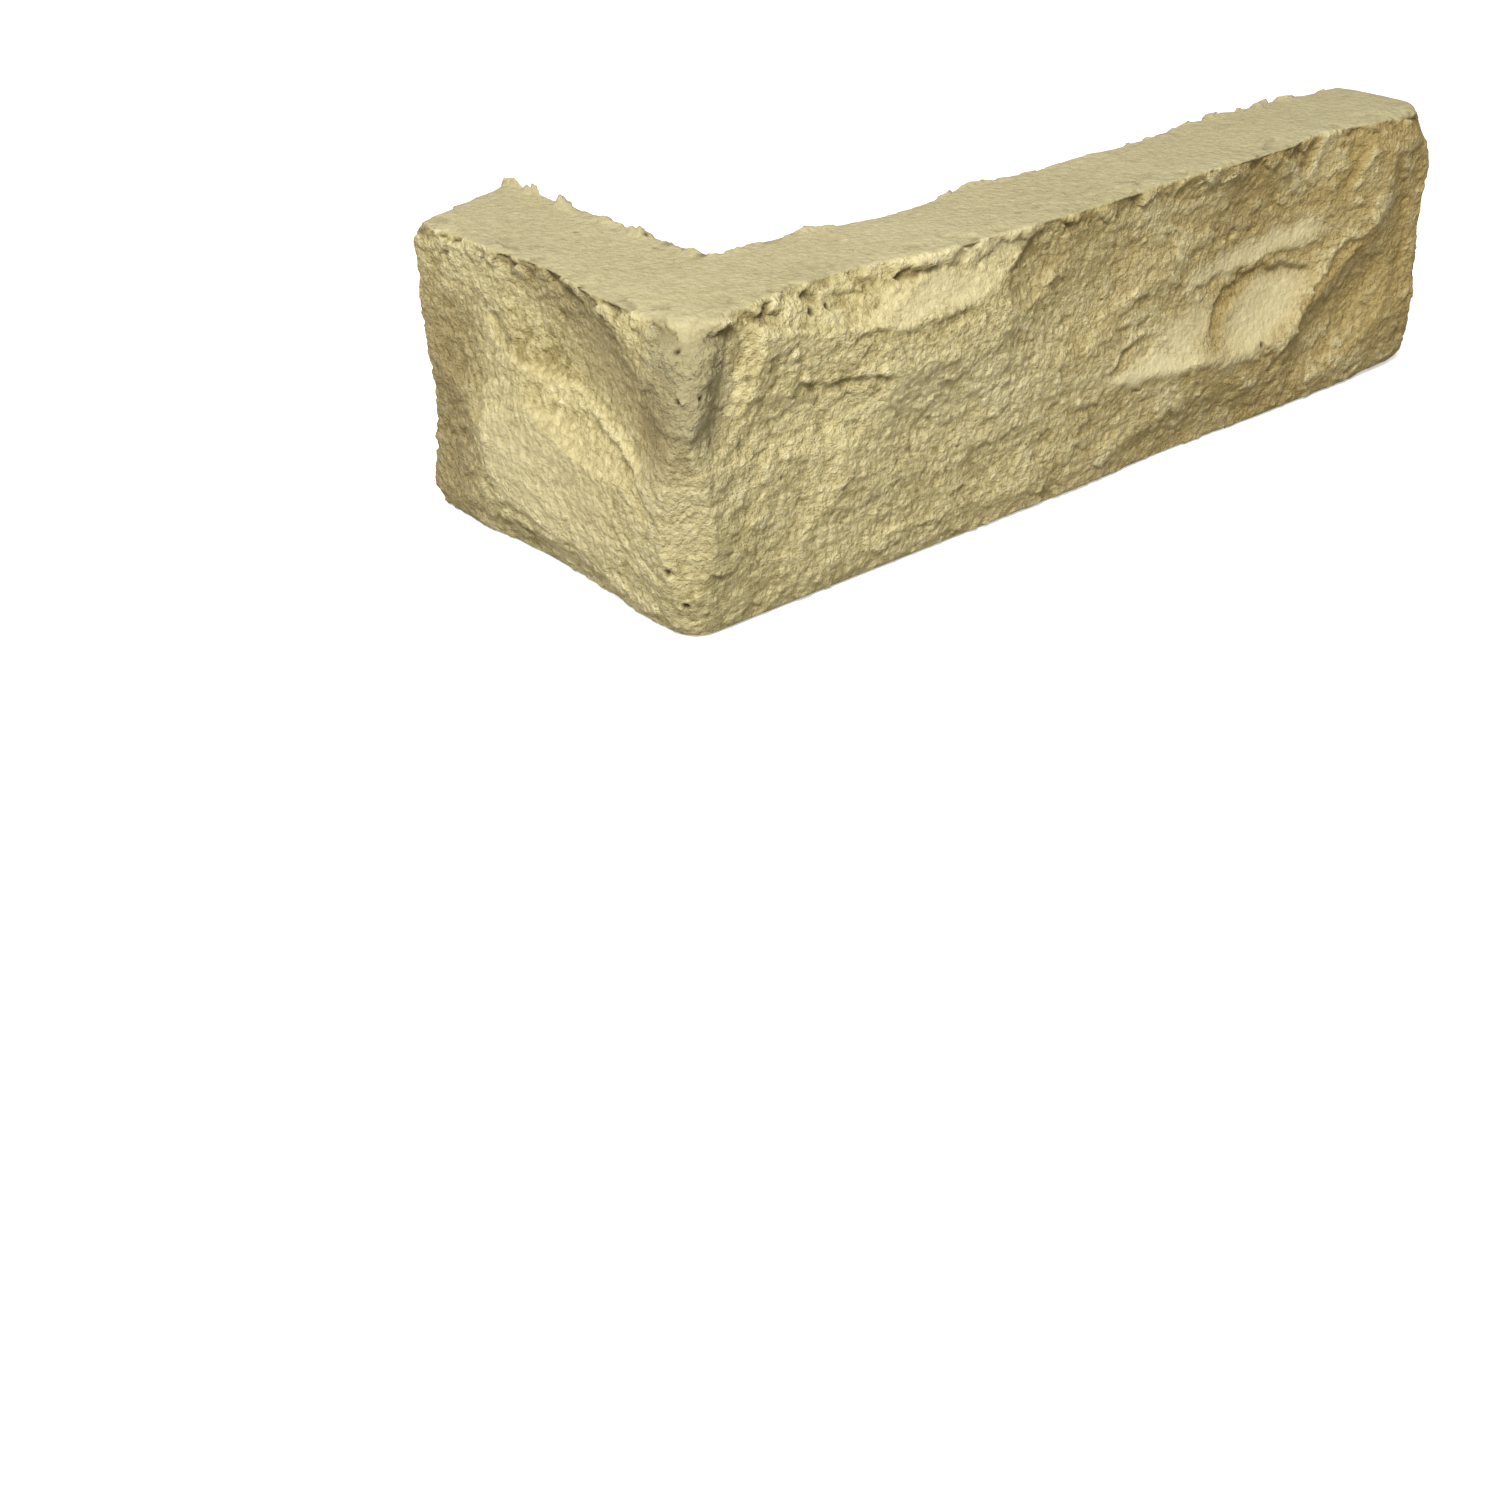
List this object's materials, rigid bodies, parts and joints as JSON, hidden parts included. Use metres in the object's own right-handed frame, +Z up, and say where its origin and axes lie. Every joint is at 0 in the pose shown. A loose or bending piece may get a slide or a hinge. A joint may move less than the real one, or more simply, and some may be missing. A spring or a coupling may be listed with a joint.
{
  "type": "facing stone corner",
  "caption": "L-shaped facing stone of cast concrete with a hewn, flake-scarred outside, flat beds and plain backs, that wraps the outer corner of a wall.",
  "frame": {"origin": "middle of the overall box, on the bed the stone stands on", "axes": "+X along the long leg away from the outer corner, +Y along the short leg away from the outer corner, +Z up"},
  "size_m": [0.237, 0.11, 0.065],
  "materials": {
    "cast_stone": "rough, cream, through-coloured"
  },
  "bodies": {
    "root": {"corner_stone": "cast_stone"}
  },
  "joints": []
}
